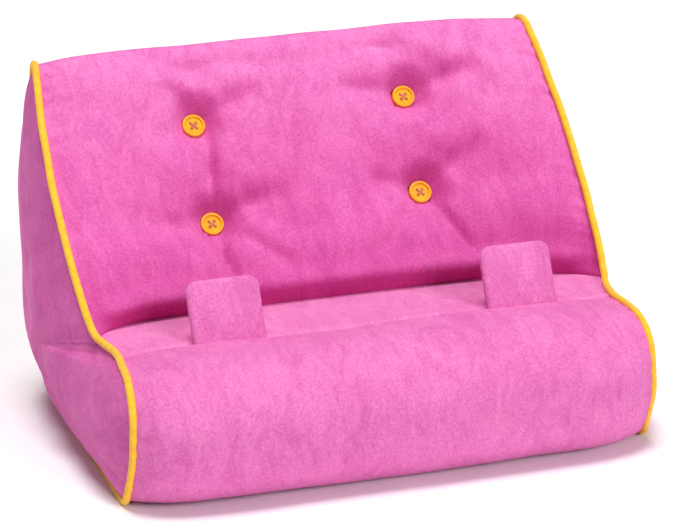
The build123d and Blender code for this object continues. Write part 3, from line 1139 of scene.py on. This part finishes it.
def woven(name, deep, light, size):
    """Plain woven fabric with crossing ribs."""
    made, tree, shader, place = blank(name)
    ribs = [rib(tree, place, direction, size) for direction in ("X", "Y", "Z")]
    weave = mix(tree, "MIX", 0.5, mix(tree, "MIX", 0.5, ribs[0], ribs[1]), ribs[2])
    spots = noise(tree, place, size=3.0, detail=4, roughness=0.6)
    colour = spotted(tree, spots, deep, light)
    connect(tree, shader, {"Base Color": colour, "Roughness": 0.75, "Sheen Weight": 0.2})
    bump(tree, shader, [(weave, 0.12, 0.5), (spots, 0.1, 0.4)])
    return made


def solid(name, deep, light, size, rough, depth=0.05):
    """Moulded or pressed material with slight mottling and fine surface grain."""
    made, tree, shader, place = blank(name)
    spots = noise(tree, place, size, detail=4, roughness=0.6)
    grain = noise(tree, place, size / 8, detail=2, roughness=0.5)
    connect(tree, shader, {"Base Color": spotted(tree, spots, deep, light), "Roughness": rough})
    bump(tree, shader, [(grain, depth, 0.4)])
    return made


def looks():
    """Every material, by what it is for."""
    return {
        "cover": velour("pink_velour", (217, 107, 172), (243, 142, 204), 0.5),
        # painted shade: the side panels get a darker copy of the cover's velour
        "side": velour("pink_velour_side", (216, 102, 171), (240, 132, 199), 0.4, SIDE_PAINTED_SHADE),
        # painted light and shade: the backrest gets a lighter copy of the cover's velour, painted darker
        # towards the crease and on faces turned from the light
        "backrest": velour(
            "pink_velour_brushed_down", (223, 112, 179), (249, 151, 212), 0.24, CREASE_PAINTED_SHADE, FOOT, FACING_PAINTED_SHADE
        ),
        # painted light: the ledge gets a lighter copy of the cover's velour, as if lit more from above
        "ledge": velour("pink_velour_brushed_up", (226, 121, 182), (247, 153, 210), 0.8),
        "piping": woven("yellow_tape", (247, 176, 12), (255, 204, 40), 0.5),
        "core": woven("piping_core", (225, 222, 210), (245, 243, 236), 0.8),
        "liner": woven("liner_cotton", (228, 226, 220), (246, 245, 240), 0.5),
        "fill": solid("filling_beads", (236, 236, 232), (252, 252, 250), 3.0, 0.6, 0.8),
        "wadding": solid("wadding_fibre", (238, 238, 236), (252, 252, 252), 1.5, 0.95, 0.6),
        "button": solid("button_resin", (242, 160, 10), (253, 180, 20), 3.0, 0.38),
        "thread": woven("tuft_thread", (186, 92, 70), (214, 122, 96), 0.25),
        "stay": solid("stay_resin", (232, 230, 224), (246, 245, 240), 2.5, 0.4),
        "board": solid("stiffener_board", (196, 178, 148), (214, 198, 170), 2.0, 0.8, 0.1),
    }


def dress_cad(look):
    """Better materials for the CAD nodes that stay."""
    kinds = {"button_": "button", "tuft_thread_": "thread", "stay_button_": "stay"}
    for name, node in frame["nodes"].items():
        kind = next((k for start, k in kinds.items() if name.startswith(start)), None)
        if name.endswith("_stiffener"):
            kind = "board"
        if kind:
            node.data.materials.clear()
            node.data.materials.append(look[kind])


# ---- camera, light and floor; the camera's place is in metres ----

CAMERA_AZIMUTH = math.radians(-18.30)
CAMERA_ELEVATION = math.radians(18.87)
CAMERA_ROLL = math.radians(0.65)
CAMERA_DISTANCE = 1.62
CAMERA_TARGET = Vector((0.0006, 0.0009, 0.081))
CAMERA_LENS = 174.7
SENSOR_WIDTH = 36

SURROUNDINGS = 0.165
# (where it comes from, strength)
KEY_LIGHT = ((0.42, -0.9, 0.5), 1.45)
TOP_LIGHT = ((-0.08, -0.03, 1.0), 2.6)
LIGHT_SPREAD = math.radians(24)  # how wide each light's source looks
FLOOR_RADIUS = 30000.0
FLOOR_SIDES = 64


def place_camera():
    """The camera, tilted a little sideways."""
    data = bpy.data.cameras.new("camera")
    data.lens = CAMERA_LENS
    data.sensor_width = SENSOR_WIDTH
    camera = linked("camera", data)
    away = Vector((math.sin(CAMERA_AZIMUTH), -math.cos(CAMERA_AZIMUTH), 0)) * math.cos(CAMERA_ELEVATION)
    away.z = math.sin(CAMERA_ELEVATION)
    camera.location = CAMERA_TARGET + away * CAMERA_DISTANCE
    camera.rotation_mode = "QUATERNION"
    level = (-away).to_track_quat("-Z", "Y")
    camera.rotation_quaternion = level @ Quaternion((0, 0, 1), -CAMERA_ROLL)
    bpy.context.scene.camera = camera


def soft_light(name, towards, strength):
    """Even light from one direction."""
    data = bpy.data.lights.new(name, "SUN")
    data.energy = strength
    data.angle = LIGHT_SPREAD
    light = linked(name, data)
    light.rotation_mode = "QUATERNION"
    light.rotation_quaternion = (-Vector(towards)).to_track_quat("-Z", "Y")


def place_surroundings():
    """White all round, and a pale round floor."""
    world = bpy.data.worlds.new("studio")
    world.use_nodes = True
    background = world.node_tree.nodes["Background"]
    background.inputs["Color"].default_value = (1, 1, 1, 1)
    background.inputs["Strength"].default_value = SURROUNDINGS
    bpy.context.scene.world = world
    angles = np.arange(FLOOR_SIDES) * math.tau / FLOOR_SIDES
    rim = [(FLOOR_RADIUS * math.cos(a), FLOOR_RADIUS * math.sin(a), 0) for a in angles]
    floor = mesh_object("floor", rim, [range(FLOOR_SIDES)])
    floor.data.materials.append(solid("floor_paper", (250, 250, 250), (254, 254, 254), 40, 0.9, 0.02))


def place_studio():
    """Camera, soft light from the right and from above, and white surroundings."""
    bpy.context.scene.view_settings.view_transform = "Standard"
    place_camera()
    soft_light("key", *KEY_LIGHT)
    soft_light("top", *TOP_LIGHT)
    place_surroundings()


def main():
    """The studio, then the cushion from the outside in, its tabs, and the CAD nodes' materials."""
    place_studio()
    look = looks()
    seats = button_seats()
    cover = cover_surface()
    grid = finish_cover(cover, stuffed(cover, seats), seats)
    make_cover(cover, grid, look)
    sides = {side: make_side(cover, grid, side, look) for side in (-1, 1)}
    for side in sides:
        make_piping(cover, side, look)
    make_inside(cover, grid, sides, look)
    for joint in frame["joints"]:
        make_tab(joint, look)
    dress_cad(look)


main()
